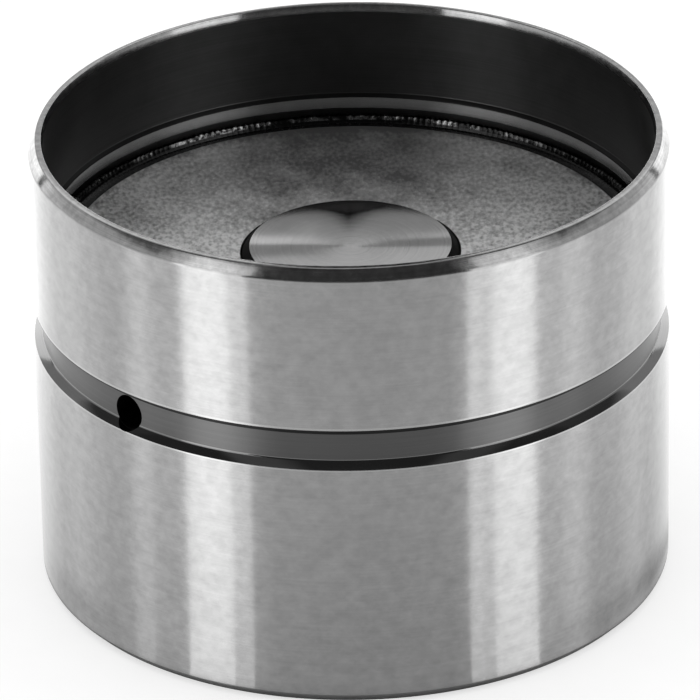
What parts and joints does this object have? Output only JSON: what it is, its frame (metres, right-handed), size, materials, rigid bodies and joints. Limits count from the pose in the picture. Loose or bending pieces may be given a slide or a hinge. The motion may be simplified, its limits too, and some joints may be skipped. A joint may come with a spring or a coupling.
{
  "type": "hydraulic bucket tappet",
  "caption": "Hydraulic bucket tappet: a ground steel cup with an oil groove and feed hole, and a sprung pressure cylinder sliding in its web.",
  "frame": {"origin": "middle of the crown, the closed face that the cam runs on and that the part stands on", "axes": "+Z along the tappet's axis, out of the open end towards the valve; -Y faces the picture's viewer, with the feed hole to the left of it"},
  "size_m": [0.035, 0.035, 0.026],
  "materials": {
    "ground_steel": "ground and polished on the outside, dark and dull inside",
    "pressed_steel": "pressed sheet, dull and mottled",
    "weld_metal": "dark weld with bright beads",
    "turned_steel": "fine turned, with circular tool marks",
    "hardened_steel": "hardened and ground",
    "spring_steel": "drawn wire"
  },
  "bodies": {
    "bucket_body": {"bucket": "ground_steel", "guide_insert": "pressed_steel", "weld_seam": "weld_metal", "piston": "hardened_steel", "ball_spring": "spring_steel", "ball_cap": "pressed_steel", "return_spring": "spring_steel"},
    "cylinder_body": {"pressure_cylinder": "turned_steel", "retaining_ring": "spring_steel"},
    "ball_body": {"check_ball": "hardened_steel"}
  },
  "joints": [
    {"name": "lash_slide", "type": "slide", "parent": "bucket_body", "child": "cylinder_body", "axis": [0, 0, 1], "range_m": [-0.0022, 0], "stiffness_N_per_m": 1000, "springref_m": 0.003, "deforming": ["return_spring"]},
    {"name": "ball_lift", "type": "slide", "parent": "bucket_body", "child": "ball_body", "axis": [0, 0, 1], "range_m": [0, 0.0003], "stiffness_N_per_m": 10, "springref_m": -0.0006, "deforming": ["ball_spring"]}
  ]
}
